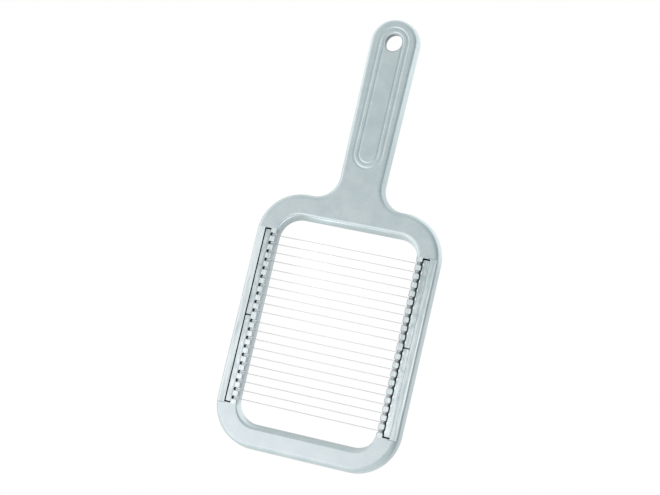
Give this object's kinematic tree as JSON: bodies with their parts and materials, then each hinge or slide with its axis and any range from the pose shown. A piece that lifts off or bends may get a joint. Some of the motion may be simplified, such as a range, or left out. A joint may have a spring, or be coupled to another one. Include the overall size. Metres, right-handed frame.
{
  "type": "wire cheese slicer",
  "caption": "Flat cast aluminium hand slicer with a handle and hanging hole, strung with parallel wires held in drop-in strips, for cutting soft cheese into even slices.",
  "frame": {"origin": "centre of the whole outline, on the flat back of the frame", "axes": "+Y along the handle towards the hanging hole, +X along the wires to the right, +Z out of the pocketed top face"},
  "size_m": [0.1104, 0.2599, 0.008],
  "materials": {
    "cast_aluminium": "satin as-cast skin, linished along the rails",
    "strip_aluminium": "sawn and filed along its length",
    "wire_steel": "drawn stainless wire",
    "ferrule_steel": "crimped sleeve"
  },
  "bodies": {
    "frame": {"frame": "cast_aluminium"},
    "upper_wire_set": {"upper_left_strip": "strip_aluminium", "upper_right_strip": "strip_aluminium", "upper_left_ferrules": "ferrule_steel", "upper_right_ferrules": "ferrule_steel", "wire_11": "wire_steel", "wire_12": "wire_steel", "wire_13": "wire_steel", "wire_14": "wire_steel", "wire_15": "wire_steel", "wire_16": "wire_steel", "wire_17": "wire_steel", "wire_18": "wire_steel", "wire_19": "wire_steel", "wire_20": "wire_steel"},
    "lower_wire_set": {"lower_left_strip": "strip_aluminium", "lower_right_strip": "strip_aluminium", "lower_left_ferrules": "ferrule_steel", "lower_right_ferrules": "ferrule_steel", "wire_01": "wire_steel", "wire_02": "wire_steel", "wire_03": "wire_steel", "wire_04": "wire_steel", "wire_05": "wire_steel", "wire_06": "wire_steel", "wire_07": "wire_steel", "wire_08": "wire_steel", "wire_09": "wire_steel", "wire_10": "wire_steel"}
  },
  "joints": [
    {"name": "upper_wire_set_lift", "type": "slide", "parent": "frame", "child": "upper_wire_set", "axis": [0, 0, 1], "range_m": [0, 0.006]},
    {"name": "lower_wire_set_lift", "type": "slide", "parent": "frame", "child": "lower_wire_set", "axis": [0, 0, 1], "range_m": [0, 0.006]}
  ]
}
